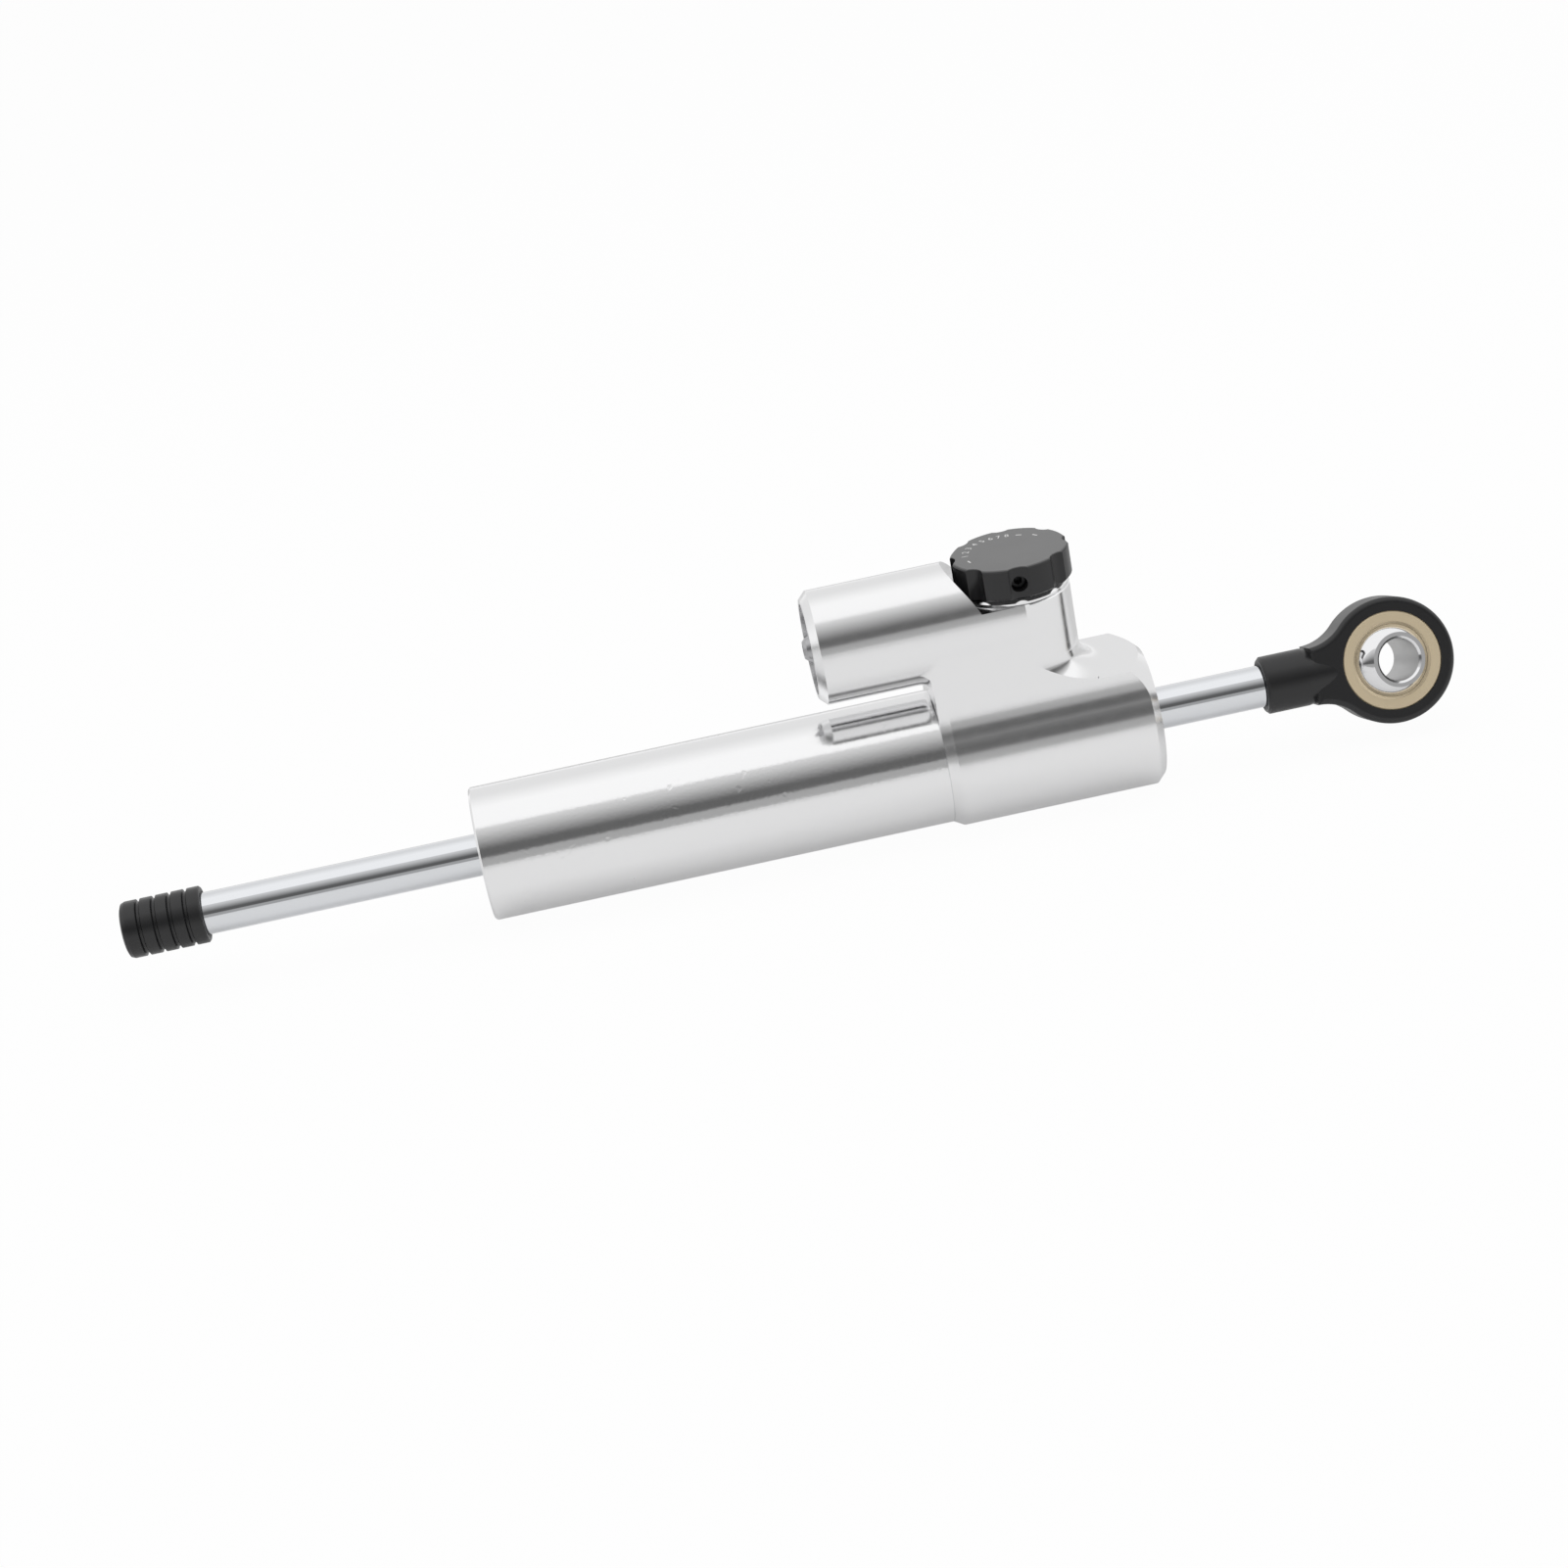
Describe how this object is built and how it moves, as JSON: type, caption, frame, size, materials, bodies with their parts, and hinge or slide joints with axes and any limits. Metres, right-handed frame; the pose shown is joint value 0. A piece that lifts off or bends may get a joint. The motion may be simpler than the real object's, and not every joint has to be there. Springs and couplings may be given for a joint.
{
  "type": "steering damper",
  "caption": "Adjustable steering damper with a rod that runs through a clamped tube and a valve head with a reservoir, a knob and a ball-jointed rod end.",
  "frame": {"origin": "centre of the ball in the rod end", "axes": "+X along the rod from its capped end to the rod end, +Z parallel to the adjuster's axis and away from the rod, +Y away from the side that faces the camera"},
  "size_m": [0.2548, 0.0276, 0.0514],
  "materials": {
    "polished_aluminium": "milled and polished, clear anodised",
    "brushed_tube": "drawn tube, lengthwise brushed and clear anodised",
    "chromed_rod": "hard chromed and ground",
    "black_anodised": "satin black anodised",
    "race_brass": "fine turned",
    "ball_steel": "hardened and polished",
    "seal_rubber": "moulded nitrile",
    "bush_bronze": "sintered bronze",
    "inner_steel": "bright turned",
    "dark_screw": "black oxide",
    "band_plastic": "filled PTFE"
  },
  "bodies": {
    "damper_body": {"valve_head": "polished_aluminium", "outer_tube": "brushed_tube", "working_tube": "inner_steel", "tube_ring": "seal_rubber", "left_gland": "polished_aluminium", "left_gland_ring": "seal_rubber", "left_bush": "bush_bronze", "left_seal": "seal_rubber", "left_clip": "inner_steel", "right_guide": "polished_aluminium", "right_guide_ring": "seal_rubber", "right_bush": "bush_bronze", "right_seal": "seal_rubber", "nose_wiper": "seal_rubber", "reservoir_lid": "polished_aluminium", "lid_ring": "seal_rubber", "lid_clip": "inner_steel", "bleed_screw": "dark_screw", "bleed_washer": "inner_steel", "compensating_spring": "inner_steel", "bonnet": "polished_aluminium", "bonnet_ring": "seal_rubber", "spindle_ring": "seal_rubber", "click_spring": "inner_steel"},
    "piston_group": {"piston": "polished_aluminium", "piston_band": "band_plastic", "piston_seal": "seal_rubber"},
    "rod_group": {"rod": "chromed_rod", "piston_clips": "inner_steel", "rod_cap": "black_anodised", "rod_end_housing": "black_anodised", "bearing_race": "race_brass"},
    "ball": {"bearing_ball": "ball_steel"},
    "floating_group": {"floating_piston": "polished_aluminium", "floating_piston_ring": "seal_rubber"},
    "adjuster": {"spindle": "inner_steel", "knob": "black_anodised", "grub_screw": "dark_screw"},
    "needle_group": {"needle": "bush_bronze"},
    "click_group": {"click_ball": "ball_steel"}
  },
  "joints": [
    {"name": "rod_slide", "type": "slide", "parent": "damper_body", "child": "piston_group", "axis": [1, 0, 0], "range_m": [-0.021, 0.0515]},
    {"name": "rod_turn", "type": "hinge", "parent": "piston_group", "child": "rod_group", "pos_m": [0, 0, 0], "axis": [1, 0, 0], "continuous": true},
    {"name": "ball_tilt", "type": "hinge", "parent": "rod_group", "child": "ball", "pos_m": [0, 0, 0], "axis": [0, 0.309, 0.9511], "range_deg": [-23, 3]},
    {"name": "compensator_slide", "type": "slide", "parent": "damper_body", "child": "floating_group", "axis": [1, 0, 0], "range_m": [-0.004, 0.004], "stiffness_N_per_m": 300, "deforming": ["compensating_spring"]},
    {"name": "knob_turn", "type": "hinge", "parent": "damper_body", "child": "adjuster", "pos_m": [-0.0679, 0, 0], "axis": [0, 0, 1], "range_deg": [-315, 0]},
    {"name": "needle_feed", "type": "slide", "parent": "adjuster", "child": "needle_group", "axis": [0, 0, 1], "range_m": [-0.00071, 0]},
    {"name": "click_rise", "type": "slide", "parent": "damper_body", "child": "click_group", "axis": [0, 0, 1], "range_m": [0, 0.0003], "stiffness_N_per_m": 20, "springref_m": 0.0003, "deforming": ["click_spring"]}
  ],
  "couplings": [
    {"joint": "needle_feed", "follows": "knob_turn", "m_per_rad": 0.000127}
  ]
}
